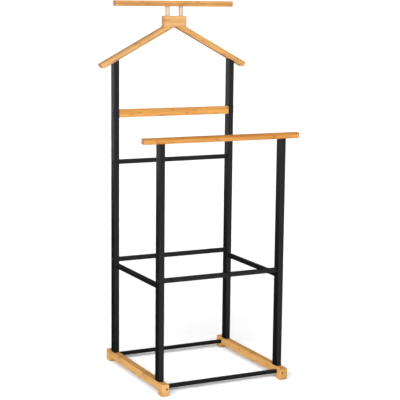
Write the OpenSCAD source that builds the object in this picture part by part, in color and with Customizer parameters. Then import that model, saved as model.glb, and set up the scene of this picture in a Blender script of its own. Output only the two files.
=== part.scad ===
// Valet stand: a knock-down clothes stand of square-cut bamboo bars and black steel tube.
// Millimetres, +Z up, +X to the right, the trouser rail at -Y.
// The origin is on the floor, midway between the four posts.
// Each side is a welded frame of two posts and a side rail, bolted down onto a bamboo base rail.
// Cross rails bolt between the sides, and a bamboo coat hanger with a top bar closes the back posts.

/* [Overall] */
// Height of the top bar's upper face above the floor
overall_h = 1020; // [980:5:1080]
// Distance between the left and right posts, centre to centre
post_span_x = 355; // [330:5:380]
// Distance between the front and back posts, centre to centre
post_span_y = 302; // [270:2:340]

/* [Posts] */
// Width of a post tube, left to right
post_w = 15; // [12.5:0.5:16]
// Depth of a post tube, front to back
post_d = 25; // [24:1:30]
// Wall thickness of the post tubes
post_wall = 1.2; // [1:0.1:1.5]
// Outer corner radius of the post tubes
post_corner_r = 1.6; // [1.6:0.2:3]

/* [Cross rails] */
// Width and height of the square cross-rail tubes
rail_size = 12; // [12:0.5:13]
// Wall thickness of the cross-rail tubes
rail_wall = 1.2; // [1:0.1:1.4]
// Outer corner radius of the cross-rail tubes
rail_corner_r = 1.6; // [1.5:0.1:2]
// Height of the front and back shelf rails' axes
shelf_rail_z = 301; // [260:1:340]
// How far the side rails' axes sit below those of the front and back shelf rails
side_rail_drop = 15; // [14:1:24]
// Height of the upper back rail's axis
back_cross_rail_z = 577; // [540:1:620]

/* [Base] */
// Thickness of every bamboo bar, across its narrow side
bamboo_t = 20; // [19:0.5:22]
// Length of a base rail, front to back
base_rail_len = 384; // [364:2:400]
// Height of a base rail's upper face above the floor
base_rail_top = 33; // [31:0.5:36]
// Clear height under a base rail, between its feet
foot_h = 13; // [11:0.5:14]
// Length of each foot along the base rail
foot_len = 29; // [27:0.5:31]
// Width and height of the two square base tubes
base_tube_size = 10; // [9:0.5:11]
// Height of the base tubes' axes above the floor
base_tube_z = 20.5; // [19.5:0.5:23]
// Depth of the sockets that hold the base tubes
socket_depth = 12; // [8:0.5:14]

/* [Trouser rail and slat] */
// Length of the trouser rail
trouser_rail_len = 455; // [440:5:480]
// Height of the trouser rail's section
trouser_rail_h = 15; // [14:0.5:18]
// Height of the trouser rail's upper face above the floor
trouser_rail_top = 674.5; // [640:0.5:700]
// Height of the back slat's lower edge above the floor
slat_z = 701; // [680:1:720]
// Height of the back slat's section
slat_h = 22; // [21:0.5:28]
// Thickness of the back slat
slat_t = 12; // [11:0.5:14]

/* [Hanger] */
// Distance between the two shoulder tips
hanger_span = 450; // [420:5:480]
// Slope of the shoulders below the horizontal, in degrees
hanger_slope = 28; // [26:0.5:30]
// Width of the block that joins the two arms
block_w = 68; // [66:1:74]
// Height of the block
block_h = 30; // [28:1:34]
// Length of the top bar
top_bar_len = 360; // [340:5:380]
// Height of the top bar's section
top_bar_h = 15; // [14:0.5:18]
// Diameter of the two round pegs
peg_d = 12; // [11:0.5:13]
// Distance between the pegs' axes
peg_spacing = 41; // [38:1:42]
// Clear height between the block and the top bar
peg_gap = 26; // [20:1:32]

/* [Hidden] */

$fn = 48;
left = -1;
right = 1;
front = -1;
back = 1;
cut = 1; // how far a cutter runs past the face that it opens
min_bore_r = 0.3; // smallest corner radius inside a tube

bamboo_colour = [0.88, 0.64, 0.33];
peg_colour = [0.95, 0.85, 0.72];
black_colour = [0.12, 0.12, 0.13];
screw_colour = [0.62, 0.62, 0.64];
brass_colour = [0.72, 0.58, 0.34];
nylon_colour = [0.25, 0.25, 0.26];

// Frame places
post_x = post_span_x / 2;
post_y = post_span_y / 2;
post_face_x = post_x - post_w / 2;
post_face_y = post_y - post_d / 2;
cross_rail_len = 2 * post_face_x;
side_rail_len = 2 * post_face_y;
side_rail_z = shelf_rail_z - side_rail_drop;
front_post_top = trouser_rail_top - trouser_rail_h;

// Base
foot_outer_r = 8;
foot_inner_r = 11;
bamboo_edge_r = 1.5;
base_tube_wall = 1;
base_tube_corner_r = 1.4;
base_tube_offset = 2.5; // from a foot's inner end out to the base tube's axis
base_tube_y = base_rail_len / 2 - foot_len + base_tube_offset;
base_rail_inner_x = post_x - bamboo_t / 2;
socket_gap = 0.1; // round the tube in its socket
socket_end_gap = 0.5; // between the tube's end and the socket's floor
base_tube_len = 2 * (base_rail_inner_x + socket_depth - socket_end_gap);
lock_screw_x = base_rail_inner_x + socket_depth / 2;

// Slat
slat_setback = 0.5; // its front face is this far behind those of the back posts
slat_y = post_face_y + slat_setback + slat_t / 2;

// Hanger, from the top bar down
top_bar_z = overall_h - top_bar_h;
block_top = top_bar_z - peg_gap;
block_z = block_top - block_h;
arm_t = block_w / 2 * sin(hanger_slope);
arm_len = (hanger_span / 2 - arm_t * sin(hanger_slope)) / cos(hanger_slope);
arm_end_r = 8;
peg_hole_depth = 12;
peg_top_hole_depth = 9;
arm_dowel_d = 6;
arm_dowel_margin = 7; // from the block's side to a dowel's axis
arm_dowel_x = block_w / 2 - arm_dowel_margin;
arm_dowel_drop = 9; // length in the arm
arm_dowel_rise = 12; // length in the block

// Highest point of a back post, whose top slopes with the arm on it
back_post_top = block_z - post_face_x * tan(hanger_slope);

// M6 bolts and the nylon inserts that take them
bolt_d = 6;
bolt_hole_d = 6.6;
insert_hole_d = 6.2;
insert_len = 25;
bolt_grip = 20; // length of a bolt inside its insert
foot_bolt_head_d = 10;
foot_bolt_head_h = 6;
foot_pocket_d = 12;
foot_pocket_depth = 7;
rail_bolt_head_d = 11;
rail_bolt_head_h = 3.2;
hex_key_d = 4.6; // across the corners of a 4 mm socket
hex_depth = 2;

// Wood screws
top_screw_d = 4.8;
top_screw_hole_d = 5.2;
top_screw_head_d = 9;
top_screw_head_h = 2.6;
top_screw_len = 34;
arm_screw_len = 29;
arm_pocket_d = 10;
arm_seat = 9; // wood left under the head of an arm screw
slat_screw_d = 4;
slat_screw_hole_d = 4.4;
slat_screw_head_d = 8;
slat_screw_head_h = 2.4;
slat_screw_reach = 27;
slat_screw_rise = 5.5; // above and below the slat's middle
lock_screw_d = 3.5;
lock_screw_head_d = 6.5;
lock_screw_head_h = 2;
lock_screw_sink = 2; // depth of the head below the end face
lock_screw_bite = 5; // how far the tip goes into the base tube
lock_screw_tip_y = base_tube_y + base_tube_size / 2 - lock_screw_bite;

// Height of a hanger arm's lower edge at a distance x from the middle
function arm_underside(x) = block_z - x * tan(hanger_slope);

// ---- Shared shapes ----

// Rectangle with true round corners
module rounded_rect(w, h, r) {
    square([w - 2 * r, h], center = true);
    square([w, h - 2 * r], center = true);
    for (sx = [-1, 1], sy = [-1, 1])
        translate([sx * (w / 2 - r), sy * (h / 2 - r)])
            circle(r);
}

// Section of a hollow tube
module tube_section(w, h, r, wall) {
    difference() {
        rounded_rect(w, h, r);
        tube_bore(w, h, r, wall);
    }
}

// Clear section inside a tube
module tube_bore(w, h, r, wall) {
    rounded_rect(w - 2 * wall, h - 2 * wall, max(r - wall, min_bore_r));
}

// Lays a section along X, with the section's x to +Y and its y to +Z
module along_x(len) {
    rotate([90, 0, 90])
        linear_extrude(len, center = true)
            children();
}

// Lays a section along Y, with the section's y to +Z
module along_y(len) {
    rotate([90, 0, 0])
        linear_extrude(len, center = true)
            children();
}

// Cylinder that starts at the origin and runs to +X or -X
module rod_x(d, len, side) {
    rotate([0, side * 90, 0])
        cylinder(d = d, h = len);
}

// Cylinder that starts at the origin and runs to +Y or -Y
module rod_y(d, len, end) {
    rotate([-end * 90, 0, 0])
        cylinder(d = d, h = len);
}

// Places its children at the foot of each of the four posts
module each_post() {
    for (side = [left, right], end = [front, back])
        translate([side * post_x, end * post_y, 0])
            children();
}

// Bolt with its head's seat at the origin, its shaft running down
module bolt_down(shaft, head_d, head_h) {
    translate([0, 0, -shaft])
        cylinder(d = bolt_d, h = shaft);
    difference() {
        cylinder(d = head_d, h = head_h);
        translate([0, 0, head_h - hex_depth])
            cylinder(d = hex_key_d, h = hex_depth + cut, $fn = 6);
    }
}

// Countersunk screw with its flat head at the origin, its shaft running down
module countersunk_down(d, len, head_d, head_h) {
    translate([0, 0, -len])
        cylinder(d = d, h = len - head_h);
    translate([0, 0, -head_h])
        cylinder(d1 = d, d2 = head_d, h = head_h);
}

// Pan-head screw with its head's seat at the origin, its shaft running down
module pan_head_down(d, len, head_d, head_h) {
    translate([0, 0, -len])
        cylinder(d = d, h = len);
    cylinder(d = head_d, h = head_h);
}

// ---- Base ----

// Side view of a foot, with its outer end at the origin
module foot_outline() {
    translate([foot_outer_r, 0])
        square([foot_len - foot_outer_r - foot_inner_r, foot_h + cut]);
    translate([0, foot_outer_r])
        square([foot_outer_r + cut, foot_h + cut - foot_outer_r]);
    translate([foot_len - foot_inner_r - cut, foot_inner_r])
        square([foot_inner_r + cut, foot_h + cut - foot_inner_r]);
    translate([foot_outer_r, foot_outer_r])
        circle(foot_outer_r);
    translate([foot_len - foot_inner_r, foot_inner_r])
        circle(foot_inner_r);
}

// Side view of a base rail: a straight bar with a foot under each end
module base_rail_outline() {
    bar_h = base_rail_top - foot_h;
    translate([0, foot_h + bar_h / 2])
        rounded_rect(base_rail_len, bar_h, bamboo_edge_r);
    for (end = [0, 1])
        mirror([end, 0])
            translate([-base_rail_len / 2, 0])
                foot_outline();
}

module base_rail(side) {
    color(bamboo_colour)
        translate([side * post_x, 0, 0])
            difference() {
                along_x(bamboo_t)
                    base_rail_outline();
                for (end = [front, back])
                    base_rail_holes(side, end);
            }
}

// One end of a base rail: tube socket, locking screw hole and post bolt hole
module base_rail_holes(side, end) {
    socket = base_tube_size + 2 * socket_gap;
    translate([-side * (bamboo_t / 2 + cut - (socket_depth + cut) / 2), end * base_tube_y, base_tube_z])
        cube([socket_depth + cut, socket, socket], center = true);
    translate([side * (lock_screw_x - post_x), end * base_rail_len / 2, base_tube_z])
        rotate([-end * 90, 0, 0])
            lock_screw_hole();
    translate([0, end * post_y, foot_h - cut])
        cylinder(d = bolt_hole_d, h = base_rail_top - foot_h + 2 * cut);
    translate([0, end * post_y, foot_h - cut])
        cylinder(d = foot_pocket_d, h = foot_pocket_depth + cut);
}

// Countersunk hole from a base rail's end face into its socket, running down
module lock_screw_hole() {
    depth = base_rail_len / 2 - base_tube_y;
    translate([0, 0, -depth])
        cylinder(d = lock_screw_d, h = depth);
    translate([0, 0, -lock_screw_sink - lock_screw_head_h])
        cylinder(d1 = lock_screw_d, d2 = lock_screw_head_d, h = lock_screw_head_h);
    translate([0, 0, -lock_screw_sink])
        cylinder(d = lock_screw_head_d, h = lock_screw_sink + cut);
}

module base_tube(end) {
    color(black_colour)
        translate([0, end * base_tube_y, base_tube_z])
            difference() {
                along_x(base_tube_len)
                    tube_section(base_tube_size, base_tube_size, base_tube_corner_r, base_tube_wall);
                for (side = [left, right])
                    translate([side * lock_screw_x, 0, 0])
                        rod_y(lock_screw_d, base_tube_size, end);
            }
}

module base_lock_screws() {
    head_y = base_rail_len / 2 - lock_screw_sink;
    screw_len = head_y - lock_screw_tip_y;
    color(brass_colour)
        for (side = [left, right], end = [front, back])
            translate([side * lock_screw_x, end * head_y, base_tube_z])
                rotate([-end * 90, 0, 0])
                    countersunk_down(lock_screw_d, screw_len, lock_screw_head_d, lock_screw_head_h);
}

// ---- Posts ----

// A post tube from the base rail up to height top, without its holes
module post_tube(top) {
    translate([0, 0, base_rail_top])
        linear_extrude(top - base_rail_top)
            tube_section(post_w, post_d, post_corner_r, post_wall);
}

// Space above the sloping underside of a hanger arm, over one post
module above_arm_underside(side) {
    size = 2 * post_d;
    translate([side * post_x, post_y, arm_underside(post_x)])
        rotate([0, side * hanger_slope, 0])
            translate([0, 0, size / 2])
                cube(size, center = true);
}

module front_post(side) {
    color(black_colour)
        difference() {
            translate([side * post_x, front * post_y, 0])
                post_tube(front_post_top);
            cross_holes(side, front, shelf_rail_z, bolt_hole_d);
        }
}

module back_post(side) {
    color(black_colour)
        difference() {
            translate([side * post_x, back * post_y, 0])
                post_tube(back_post_top);
            above_arm_underside(side);
            for (z = [shelf_rail_z, back_cross_rail_z])
                cross_holes(side, back, z, bolt_hole_d);
            for (rise = [-slat_screw_rise, slat_screw_rise])
                translate([side * (post_face_x - cut), slat_y, slat_z + slat_h / 2 + rise])
                    rod_x(slat_screw_hole_d, post_w + 2 * cut, side);
        }
}

// Hole through both side walls of a post, on the post's own axis
module cross_holes(side, end, z, d) {
    translate([side * (post_face_x - cut), end * post_y, z])
        rod_x(d, post_w + 2 * cut, side);
}

// Plug that fills a length of a post tube
module post_plug(len) {
    linear_extrude(len)
        tube_bore(post_w, post_d, post_corner_r, post_wall);
}

module post_foot_inserts() {
    color(nylon_colour)
        each_post()
            translate([0, 0, base_rail_top])
                difference() {
                    post_plug(insert_len);
                    translate([0, 0, -cut])
                        cylinder(d = insert_hole_d, h = insert_len + 2 * cut);
                }
}

module post_foot_bolts() {
    seat = foot_h + foot_pocket_depth;
    color(screw_colour)
        each_post()
            translate([0, 0, seat])
                mirror([0, 0, 1])
                    bolt_down(base_rail_top - seat + bolt_grip, foot_bolt_head_d, foot_bolt_head_h);
}

module front_post_top_inserts() {
    color(nylon_colour)
        for (side = [left, right])
            translate([side * post_x, front * post_y, front_post_top - insert_len])
                difference() {
                    post_plug(insert_len);
                    translate([0, 0, -cut])
                        cylinder(d = top_screw_d, h = insert_len + 2 * cut);
                }
}

// These are cut off at the slope of the arms, like the posts that they fill
module back_post_top_inserts() {
    color(nylon_colour)
        for (side = [left, right])
            difference() {
                translate([side * post_x, back * post_y, back_post_top - insert_len])
                    post_plug(insert_len);
                above_arm_underside(side);
                translate([side * post_x, back * post_y, back_post_top - insert_len - cut])
                    cylinder(d = top_screw_d, h = insert_len + 2 * cut);
            }
}

// ---- Rails between the posts ----

module square_tube() {
    tube_section(rail_size, rail_size, rail_corner_r, rail_wall);
}

module cross_rail(end, z) {
    color(black_colour)
        translate([0, end * post_y, z])
            along_x(cross_rail_len)
                square_tube();
}

module side_rail(side) {
    color(black_colour)
        translate([side * post_x, 0, side_rail_z])
            along_y(side_rail_len)
                square_tube();
}

// Places its children at both ends of the three bolted rails, on the rail's axis at the post's face
module each_bolted_end() {
    places = [[front, shelf_rail_z], [back, shelf_rail_z], [back, back_cross_rail_z]];
    for (place = places, side = [0, 1])
        mirror([side, 0, 0])
            translate([post_face_x, place[0] * post_y, place[1]])
                children();
}

module cross_rail_inserts() {
    color(nylon_colour)
        each_bolted_end()
            translate([-insert_len / 2, 0, 0])
                difference() {
                    along_x(insert_len)
                        tube_bore(rail_size, rail_size, rail_corner_r, rail_wall);
                    rotate([0, 90, 0])
                        cylinder(d = insert_hole_d, h = insert_len + 2 * cut, center = true);
                }
}

module cross_rail_bolts() {
    color(black_colour)
        each_bolted_end()
            translate([post_w, 0, 0])
                rotate([0, 90, 0])
                    bolt_down(post_w + bolt_grip, rail_bolt_head_d, rail_bolt_head_h);
}

// ---- Slat and trouser rail ----

module back_slat() {
    color(bamboo_colour)
        translate([0, slat_y, slat_z + slat_h / 2])
            difference() {
                along_x(cross_rail_len)
                    rounded_rect(slat_t, slat_h, bamboo_edge_r);
                for (side = [left, right], rise = [-slat_screw_rise, slat_screw_rise])
                    translate([side * (post_face_x - slat_screw_reach), 0, rise])
                        rod_x(slat_screw_d, slat_screw_reach + cut, side);
            }
}

module slat_screws() {
    color(black_colour)
        for (side = [0, 1], rise = [-slat_screw_rise, slat_screw_rise])
            mirror([side, 0, 0])
                translate([post_face_x + post_w, slat_y, slat_z + slat_h / 2 + rise])
                    rotate([0, 90, 0])
                        pan_head_down(slat_screw_d, post_w + slat_screw_reach,
                            slat_screw_head_d, slat_screw_head_h);
}

module trouser_rail() {
    color(bamboo_colour)
        difference() {
            translate([0, front * post_y, front_post_top + trouser_rail_h / 2])
                along_x(trouser_rail_len)
                    rounded_rect(bamboo_t, trouser_rail_h, bamboo_edge_r);
            for (side = [left, right])
                translate([side * post_x, front * post_y, trouser_rail_top]) {
                    translate([0, 0, -trouser_rail_h - cut])
                        cylinder(d = top_screw_hole_d, h = trouser_rail_h + 2 * cut);
                    translate([0, 0, -top_screw_head_h])
                        cylinder(d1 = top_screw_d, d2 = top_screw_head_d, h = top_screw_head_h);
                }
        }
}

module trouser_rail_screws() {
    color(screw_colour)
        for (side = [left, right])
            translate([side * post_x, front * post_y, trouser_rail_top])
                countersunk_down(top_screw_d, top_screw_len, top_screw_head_d, top_screw_head_h);
}

// ---- Hanger ----

// Front view of the right arm: a sloping bar with a round lower corner at its tip,
// cut off level under the block and upright at the middle
module arm_outline() {
    intersection() {
        translate([0, block_z])
            rotate(-hanger_slope)
                sloping_bar();
        translate([0, block_z - hanger_span])
            square(hanger_span);
    }
}

module sloping_bar() {
    translate([-block_w, 0])
        square([arm_len + block_w - arm_end_r, arm_t]);
    translate([arm_len - arm_end_r, arm_end_r])
        square([arm_end_r, arm_t - arm_end_r]);
    translate([arm_len - arm_end_r, arm_end_r])
        circle(arm_end_r);
}

module hanger_arm(side) {
    color(bamboo_colour)
        mirror([side == left ? 1 : 0, 0, 0])
            difference() {
                translate([0, post_y, 0])
                    along_y(bamboo_t)
                        arm_outline();
                translate([post_x, post_y, 0]) {
                    translate([0, 0, arm_underside(post_x) - post_w])
                        cylinder(d = top_screw_hole_d, h = 4 * post_w);
                    translate([0, 0, arm_underside(post_x) + arm_seat])
                        cylinder(d = arm_pocket_d, h = 2 * arm_t);
                }
                translate([arm_dowel_x, post_y, block_z - arm_dowel_drop])
                    cylinder(d = arm_dowel_d, h = arm_dowel_drop + cut);
            }
}

module hanger_arm_screws() {
    color(screw_colour)
        for (side = [left, right])
            translate([side * post_x, post_y, arm_underside(post_x) + arm_seat])
                pan_head_down(top_screw_d, arm_screw_len, top_screw_head_d, top_screw_head_h);
}

module hanger_block() {
    color(bamboo_colour)
        translate([0, post_y, 0])
            difference() {
                translate([0, 0, block_z + block_h / 2])
                    along_y(bamboo_t)
                        square([block_w, block_h], center = true);
                for (side = [left, right]) {
                    translate([side * peg_spacing / 2, 0, block_top - peg_hole_depth])
                        cylinder(d = peg_d, h = peg_hole_depth + cut);
                    translate([side * arm_dowel_x, 0, block_z - cut])
                        cylinder(d = arm_dowel_d, h = arm_dowel_rise + cut);
                }
            }
}

// Hidden dowels that locate the arms under the block
module arm_dowels() {
    color(peg_colour)
        for (side = [left, right])
            translate([side * arm_dowel_x, post_y, block_z - arm_dowel_drop])
                cylinder(d = arm_dowel_d, h = arm_dowel_drop + arm_dowel_rise);
}

module peg(side) {
    color(peg_colour)
        translate([side * peg_spacing / 2, post_y, block_top - peg_hole_depth])
            cylinder(d = peg_d, h = peg_hole_depth + peg_gap + peg_top_hole_depth);
}

module top_bar() {
    color(bamboo_colour)
        translate([0, post_y, 0])
            difference() {
                translate([0, 0, top_bar_z + top_bar_h / 2])
                    along_x(top_bar_len)
                        rounded_rect(bamboo_t, top_bar_h, bamboo_edge_r);
                for (side = [left, right])
                    translate([side * peg_spacing / 2, 0, top_bar_z - cut])
                        cylinder(d = peg_d, h = peg_top_hole_depth + cut);
            }
}

base_rail(left);  // base_rail_left
base_rail(right);  // base_rail_right
base_tube(front);  // base_tube_front
base_tube(back);  // base_tube_back
base_lock_screws();
back_post(left);  // back_post_left
back_post(right);  // back_post_right
front_post(left);  // front_post_left
front_post(right);  // front_post_right
post_foot_inserts();
post_foot_bolts();
front_post_top_inserts();
back_post_top_inserts();
cross_rail(front, shelf_rail_z);  // shelf_rail_front
cross_rail(back, shelf_rail_z);  // shelf_rail_back
side_rail(left);  // side_rail_left
side_rail(right);  // side_rail_right
cross_rail(back, back_cross_rail_z);  // back_cross_rail
cross_rail_inserts();
cross_rail_bolts();
back_slat();
slat_screws();
trouser_rail();
trouser_rail_screws();
hanger_arm(left);  // hanger_arm_left
hanger_arm(right);  // hanger_arm_right
hanger_arm_screws();
hanger_block();
arm_dowels();
peg(left);  // peg_left
peg(right);  // peg_right
top_bar();
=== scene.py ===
import math
from collections import namedtuple

import bmesh
import bpy
from mathutils import Euler, Matrix, Vector


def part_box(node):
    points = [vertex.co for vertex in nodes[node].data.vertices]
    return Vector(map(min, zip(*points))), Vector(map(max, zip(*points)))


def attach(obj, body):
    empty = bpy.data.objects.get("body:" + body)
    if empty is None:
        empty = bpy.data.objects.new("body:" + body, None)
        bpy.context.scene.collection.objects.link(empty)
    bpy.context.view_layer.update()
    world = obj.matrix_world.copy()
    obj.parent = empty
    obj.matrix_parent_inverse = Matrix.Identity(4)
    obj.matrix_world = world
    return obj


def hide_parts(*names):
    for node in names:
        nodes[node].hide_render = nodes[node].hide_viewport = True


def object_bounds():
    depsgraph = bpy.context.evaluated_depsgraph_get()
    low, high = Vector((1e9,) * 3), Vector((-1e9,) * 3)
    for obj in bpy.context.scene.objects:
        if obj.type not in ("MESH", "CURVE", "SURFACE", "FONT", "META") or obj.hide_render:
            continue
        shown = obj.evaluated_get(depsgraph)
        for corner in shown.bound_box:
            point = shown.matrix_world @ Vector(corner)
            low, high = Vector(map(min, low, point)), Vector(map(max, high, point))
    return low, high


# Valet stand of black steel tube and laminated bamboo. Metres, +Z up, the trouser rail at -Y.
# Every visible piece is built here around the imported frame's own boxes, with rounded edges,
# real recesses and its own procedural finish. Only sealed inner pieces stay as packed.

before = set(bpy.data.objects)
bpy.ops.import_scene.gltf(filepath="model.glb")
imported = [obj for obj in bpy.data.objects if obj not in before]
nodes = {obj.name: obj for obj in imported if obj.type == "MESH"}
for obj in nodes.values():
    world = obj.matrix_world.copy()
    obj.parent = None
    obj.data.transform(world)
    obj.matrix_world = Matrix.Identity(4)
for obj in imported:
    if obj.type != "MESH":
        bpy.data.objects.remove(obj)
cad_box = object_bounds()

MM = 0.001
SIDES = {"left": -1, "right": 1}
ENDS = {"front": -1, "back": 1}

# Camera: the point it aims at, and how it stands to it
CAMERA_AIM = Vector((0.003, -0.017, 0.4835))
CAMERA_DISTANCE = 3.40
CAMERA_AZIMUTH = math.radians(-26.5)
CAMERA_ELEVATION = math.radians(9.13)
CAMERA_ROLL = math.radians(0.61)
CAMERA_LENS_MM = 112.0
SENSOR_MM = 36.0

# Bamboo
BAR_EDGE = 1.5 * MM  # rounding of the long bars' edges
BLOCK_EDGE = 1.0 * MM  # rounding of the hanger's edges
GLUED_REACH = 1.0 * MM  # edges this near to a glued face stay sharp
ROUNDED_EDGE_ANGLE = math.radians(50)  # edges sharper than this are rounded
EDGE_SEGMENTS = 4
PLY = 5.0 * MM  # thickness of one strip in the laminate
PLY_START = 0.1 * MM  # a bar's first face is this far into its first strip, past the boundary
BAR_OFFSET = 7.0  # metres of grain between one bar and the next, so that no two look alike
KNUCKLE_SPACING = 0.17  # from one knuckle of the cane to the next
END_FACE_COSINE = 0.75  # a face that looks more than this along the grain shows the grain's ends

# Each bar's number, which sets its pattern, and its shade, paleness and how dark its ends are
BAR_LOOKS = {
    "base_rail_left": (0, -0.22, 0.55, 0.1),
    "base_rail_right": (1, -0.68, 0.35, 0.60),
    "back_slat": (2, 0.17, 0.05, 0.85),
    "trouser_rail": (3, 0.35, 0.0, 0.80),
    "hanger_arm_left": (4, -0.08, 0.9, 0.85),
    "hanger_arm_right": (5, 0.10, 0.6, 0.85),
    "hanger_block": (6, -0.25, 0.8, 0.5),
    "top_bar": (7, 0.12, 0.4, 0.85),
}

# Base rails
FOOT_HEIGHT = 13 * MM
FOOT_LENGTH = 29 * MM
FOOT_OUTER_RADIUS = 8 * MM
FOOT_INNER_RADIUS = 11 * MM
SOCKET_DEPTH = 12 * MM
SOCKET_GAP = 0.1 * MM
FOOT_POCKET_RADIUS = 6 * MM
FOOT_POCKET_DEPTH = 7 * MM

# Hanger
HANGER_SLOPE = math.radians(28)
ARM_END_RADIUS = 8 * MM
ARM_POCKET_RADIUS = 5 * MM
ARM_POCKET_REACH = 40 * MM  # length of the pocket's cutter, which ends above the arm
ARM_SEAT = 9 * MM  # wood left under the head of an arm screw
PEG_EDGE = 0.4 * MM

# Steel tubes
POST_CORNER = 1.6 * MM
POST_WALL = 1.2 * MM
RAIL_CORNER = 1.6 * MM
RAIL_WALL = 1.2 * MM
BASE_TUBE_CORNER = 1.4 * MM
BASE_TUBE_WALL = 1.0 * MM
CORNER_STEPS = 7
WELD_RADIUS = 1.1 * MM  # bead over and under a side rail
WELD_SIDE_RADIUS = 0.4 * MM  # bead beside it, where there is less room on the post
WELD_BITE = 0.3 * MM  # how far the bead runs into the rail and the post
WELD_RIPPLE = 1.6 * MM  # distance from one ripple to the next
WELD_RIPPLE_SHARE = 0.12  # how much a ripple adds to the bead's radius
WELD_STEP = 0.25 * MM
WELD_FACE_ANGLES = (0.3, 0.6, 0.785, 0.97, 1.27)  # of the points on the bead's round face

# Screws. A domed head also has the radius of the flat on its dome.
# A cross recess has its reach, half the width of its slots, and its depth.
Head = namedtuple("Head", "radius height top_radius", defaults=[None])
CrossRecess = namedtuple("CrossRecess", "reach half_width depth")
BOLT_RADIUS = 3 * MM
BOLT_KEY = 4 * MM  # across the flats of its hexagonal recess
RAIL_BOLT_HEAD = Head(5.5 * MM, 3.2 * MM, 2.9 * MM)
RAIL_BOLT_GRIP = 20 * MM  # of its shaft in the rail's insert
RAIL_BOLT_KEY_DEPTH = 2 * MM
FOOT_BOLT_HEAD = Head(5 * MM, 6 * MM, 4.6 * MM)
FOOT_BOLT_LENGTH = 33 * MM
FOOT_BOLT_KEY_DEPTH = 2.5 * MM
TOP_SCREW_RADIUS = 2.4 * MM  # shaft of the arm screws and the trouser rail's screws
ARM_SCREW_HEAD = Head(4.5 * MM, 2.6 * MM, 3.0 * MM)
ARM_SCREW_LENGTH = 29 * MM
ARM_SCREW_CROSS = CrossRecess(2.4 * MM, 0.5 * MM, 1.4 * MM)
RAIL_SCREW_HEAD = Head(4.5 * MM, 2.6 * MM)
RAIL_SCREW_LENGTH = 34 * MM
RAIL_SCREW_SINK = 0.15 * MM  # depth of its head below the trouser rail's upper face
RAIL_SCREW_RECESS = 0.2 * MM  # depth at which its hole begins to narrow
RAIL_SCREW_CROSS = CrossRecess(2.5 * MM, 0.5 * MM, 1.6 * MM)
SLAT_SCREW_RADIUS = 2 * MM
SLAT_SCREW_HEAD = Head(4 * MM, 2.4 * MM, 2.6 * MM)
SLAT_SCREW_GRIP = 27 * MM  # of its shaft in the slat
SLAT_SCREW_CROSS = CrossRecess(2.1 * MM, 0.45 * MM, 1.3 * MM)
LOCK_SCREW_RADIUS = 1.75 * MM
LOCK_SCREW_HEAD = Head(3.25 * MM, 2 * MM)
LOCK_SCREW_SINK = 2 * MM  # depth of its head below the base rail's end
LOCK_SCREW_GRIP = 5 * MM  # how far its tip goes into the base tube
LOCK_SCREW_CROSS = CrossRecess(1.9 * MM, 0.4 * MM, 1.2 * MM)
RECESS_TAPER = 0.92  # size of a recess at its bottom, as a share of its size at the top
BOLT_TIP = 0.3  # chamfer of a bolt's tip, as a share of its shaft's radius
FLAT_HEAD_TIP_RADIUS, FLAT_HEAD_TIP_LENGTH = 0.4, 1.6  # of a flat-head screw's tip, likewise
FLAT_HEAD_EDGE = 0.15 * MM  # chamfer round a flat head
TINY = 1e-6  # keeps a division from being by zero
TURNED_SIDES = 72
ARC_STEPS = 10
DOME_STEPS = 8
DOME_START = 0.25  # share of a domed head's height that is upright
CUTTER_START = 1 * MM  # how far outside the surface a cutter begins
HOLE_RIM_RISE = 0.1 * MM  # how far outside the surface a hole's chamfer runs on

# Studio
FLOOR_HALF_SIZE = 150
FLOOR_GLOW = 0.02  # light the floor gives of itself
# A fan of low suns lights only the floor, whose pale grey it brings up to white
FLOOR_SUN_AZIMUTHS = range(-56, 5, 12)
FLOOR_SUN_ELEVATION = 28
FLOOR_SUN_DISTANCE = 3  # has no effect on a sun's light
FLOOR_SUN_ANGLE = math.radians(12)
FLOOR_SUNS_STRENGTH = 9.2  # of all of them together
HORIZON_STRENGTH = 1.05
SKY_STRENGTH = 0.50
SKY_HEIGHTS = (0.15, 0.4)  # sines of the elevations between which the world dims
HORIZON_DIP = -0.02  # sine of the elevation under which the floor hides the world
# Cards that keep reflections dark: the ends along X, then the Y and Z of each bend.
# The low one darkens the lower part of the posts' left faces, the tall one the upward faces.
GLOSS_FLAGS = {
    "low_flag": ((-1.5, 0.3), ((-0.25, 0.001), (1.2, 0.001), (1.2, 0.42))),
    "tall_flag": ((-0.1, 3.0), ((1.8, 0.001), (1.8, 2.5))),
}
BAND_AZIMUTH = math.radians(-38)
BAND_ELEVATION = math.radians(30)
BAND_HALF_WIDTH = math.radians(45)
BAND_HALF_HEIGHT = math.radians(5)
BAND_EDGE = math.radians(4)
BAND_STRENGTH = 10.5
SOFTBOX_SIZE = 1.2
SOFTBOX_WATTS = 12
SOFTBOX_AZIMUTH = -35
SOFTBOX_ELEVATION = 5
SOFTBOX_DISTANCE = 2.4

# Sockets of the Mix node that carry colours
MIX_FIRST, MIX_SECOND, MIX_RESULT = 6, 7, 2

SMOOTH_ANGLE = math.radians(38)  # faces that meet at less than this are shaded as one
X, Y, Z = Vector((1, 0, 0)), Vector((0, 1, 0)), Vector((0, 0, 1))


# ---- Small helpers ----

def srgb(red, green, blue):
    """A colour given as on a screen, 0 to 255, as linear values for a shader."""
    def linear(value):
        value /= 255
        return value / 12.92 if value <= 0.04045 else ((value + 0.055) / 1.055) ** 2.4
    return (linear(red), linear(green), linear(blue), 1.0)


def size_of(node):
    """Width, depth and height of a CAD node."""
    low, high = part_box(node)
    return high - low


def middle_of(node):
    """Centre of a CAD node's box."""
    low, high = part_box(node)
    return (low + high) / 2


def mesh_from(bm, name):
    """Closes a bmesh into a mesh with its faces turned outwards."""
    bmesh.ops.recalc_face_normals(bm, faces=bm.faces)
    mesh = bpy.data.meshes.new(name)
    bm.to_mesh(mesh)
    bm.free()
    return mesh


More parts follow.
